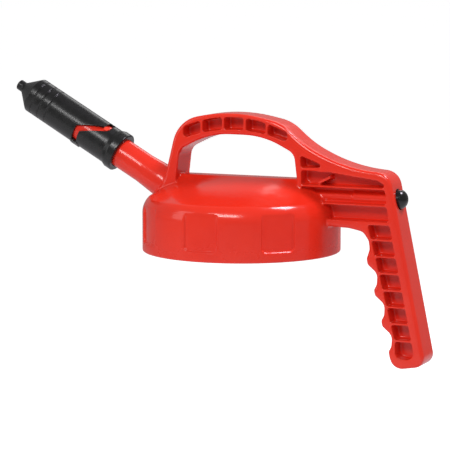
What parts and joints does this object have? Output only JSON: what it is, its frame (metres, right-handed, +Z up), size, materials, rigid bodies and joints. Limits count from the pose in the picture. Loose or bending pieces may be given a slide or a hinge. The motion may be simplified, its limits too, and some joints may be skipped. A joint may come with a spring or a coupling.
{
  "type": "drum dispensing lid with twist-nozzle spout",
  "caption": "Screw-on dispensing lid for an oil drum, with a carry handle, a finger-grooved pistol grip, a thumb vent button and a tilted spout closed by a twist nozzle.",
  "frame": {"origin": "on the cap's thread axis, in the plane of its bottom rim", "axes": "+Z up along the thread axis, +X towards the pistol grip, the spout points to -X and up"},
  "size_m": [0.3039, 0.1328, 0.1808],
  "materials": {
    "red_plastic": "glossy",
    "black_plastic": "satin",
    "black_button_plastic": "glossy",
    "rubber": "matte",
    "steel": "bright",
    "natural_acetal": "satin"
  },
  "bodies": {
    "root": {"lid_cap": "red_plastic", "handle_grip": "red_plastic", "lid_gasket": "rubber", "spout_tube": "red_plastic", "drive_lugs": "red_plastic", "closing_pin": "natural_acetal", "closing_pin_seal": "rubber", "nozzle_seal_rear": "rubber", "nozzle_seal_front": "rubber", "rear_rod_bush": "natural_acetal", "front_rod_bush": "natural_acetal", "vent_spring": "steel"},
    "vent_plunger": {"vent_button": "black_button_plastic", "vent_rod": "steel", "vent_poppet": "natural_acetal", "poppet_seal": "rubber", "poppet_clip": "steel", "spring_washer": "steel"},
    "nozzle_slider": {"wiper_ring": "rubber"},
    "nozzle": {"nozzle_sleeve": "black_plastic"}
  },
  "joints": [
    {"name": "vent_press", "type": "slide", "parent": "root", "child": "vent_plunger", "axis": [-1, 0, 0], "range_m": [0, 0.0032], "stiffness_N_per_m": 600, "springref_m": -0.002, "deforming": ["vent_spring"]},
    {"name": "nozzle_slide", "type": "slide", "parent": "root", "child": "nozzle_slider", "axis": [0.8704, 0, -0.4924], "range_m": [0, 0.01695]},
    {"name": "nozzle_twist", "type": "hinge", "parent": "nozzle_slider", "child": "nozzle", "pos_m": [-0.06, 0, 0.0449], "axis": [-0.8704, 0, 0.4924], "range_deg": [0, 50.5]}
  ],
  "couplings": [
    {"joint": "nozzle_slide", "follows": "nozzle_twist", "m_per_rad": 0.019211}
  ]
}
